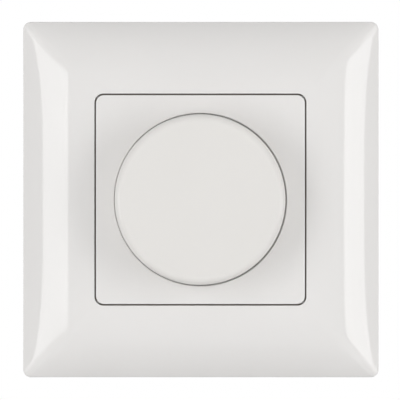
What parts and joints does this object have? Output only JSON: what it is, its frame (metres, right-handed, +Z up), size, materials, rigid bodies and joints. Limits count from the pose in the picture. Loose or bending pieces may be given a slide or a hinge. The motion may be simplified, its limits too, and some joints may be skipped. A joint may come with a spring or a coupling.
{
  "type": "rotary dimmer switch",
  "caption": "Flush-mounted rotary dimmer: square cushioned cover frame, square centre plate and a round push-and-turn knob on an insert for a wall box.",
  "frame": {"origin": "middle of the support plate's back face, on the wall's plane, between the two box screw slots", "axes": "+Y goes into the wall, the knob faces -Y, +Z is up and +X is right as seen from the room"},
  "size_m": [0.085, 0.0451, 0.085],
  "materials": {
    "frame": "gloss moulded",
    "plate": "satin gloss moulded",
    "knob": "satin gloss moulded",
    "steel": "zinc plated sheet",
    "screw_steel": "zinc plated",
    "housing": "dark grey moulded",
    "lid": "pale grey moulded",
    "brass": "plain",
    "nut_plastic": "moulded",
    "board": "laminate",
    "black_plastic": "moulded",
    "phenolic": "laminate",
    "film": "dipped",
    "ferrite": "coated iron powder",
    "copper": "enamelled wire",
    "resistor": "lacquered",
    "glass": "clear",
    "aluminium": "plain",
    "terminal": "moulded"
  },
  "bodies": {
    "base": {"cover_frame": "frame", "centre_plate": "plate", "centre_nut": "nut_plastic", "threaded_bush": "brass", "potentiometer_nut": "screw_steel", "support_plate": "steel", "front_housing": "lid", "rear_housing": "housing", "housing_screws": "screw_steel", "potentiometer_case": "steel", "resistive_track": "phenolic", "switch_case": "black_plastic", "return_spring": "screw_steel", "switch_contacts": "brass", "circuit_board": "board", "choke_core": "ferrite", "choke_winding": "copper", "film_capacitor": "film", "timing_capacitor": "film", "resistors": "resistor", "triac": "black_plastic", "triac_rivet": "aluminium", "fuse": "glass", "fuse_clips": "brass", "terminal_block": "terminal", "terminal_clamps": "brass", "terminal_screws": "screw_steel"},
    "knob_cap": {"knob": "knob", "knob_clip": "steel", "shaft": "brass"},
    "rotor": {"wiper_rotor": "black_plastic", "wiper_contact": "brass"},
    "plunger": {"switch_plunger": "nut_plastic"},
    "left_claw": {"claw_left": "steel"},
    "right_claw": {"claw_right": "steel"},
    "left_claw_screw": {"claw_screw_left": "screw_steel"},
    "right_claw_screw": {"claw_screw_right": "screw_steel"}
  },
  "joints": [
    {"name": "knob_turn", "type": "hinge", "parent": "base", "child": "rotor", "pos_m": [0, 0, 0], "axis": [0, 1, 0], "range_deg": [0, 280]},
    {"name": "knob_push", "type": "slide", "parent": "rotor", "child": "knob_cap", "axis": [0, 1, 0], "range_m": [0, 0.0015], "stiffness_N_per_m": 2500, "springref_m": -0.0008, "deforming": ["return_spring"]},
    {"name": "plunger_push", "type": "slide", "parent": "base", "child": "plunger", "axis": [0, 1, 0], "range_m": [0, 0.0015]},
    {"name": "left_claw_screw_turn", "type": "hinge", "parent": "base", "child": "left_claw_screw", "pos_m": [-0.0246, 0, -0.007], "axis": [0, 1, 0], "range_deg": [0, 1200]},
    {"name": "right_claw_screw_turn", "type": "hinge", "parent": "base", "child": "right_claw_screw", "pos_m": [0.0246, 0, 0.007], "axis": [0, 1, 0], "range_deg": [0, 1200]},
    {"name": "left_claw_spread", "type": "hinge", "parent": "base", "child": "left_claw", "pos_m": [-0.0212, 0.0019, -0.007], "axis": [0, 0, 1], "range_deg": [0, 25]},
    {"name": "right_claw_spread", "type": "hinge", "parent": "base", "child": "right_claw", "pos_m": [0.0212, 0.0019, 0.007], "axis": [0, 0, -1], "range_deg": [0, 25]}
  ],
  "couplings": [
    {"joint": "plunger_push", "follows": "knob_push", "ratio": 1},
    {"joint": "left_claw_spread", "follows": "left_claw_screw_turn", "ratio": 0.020833},
    {"joint": "right_claw_spread", "follows": "right_claw_screw_turn", "ratio": 0.020833}
  ]
}
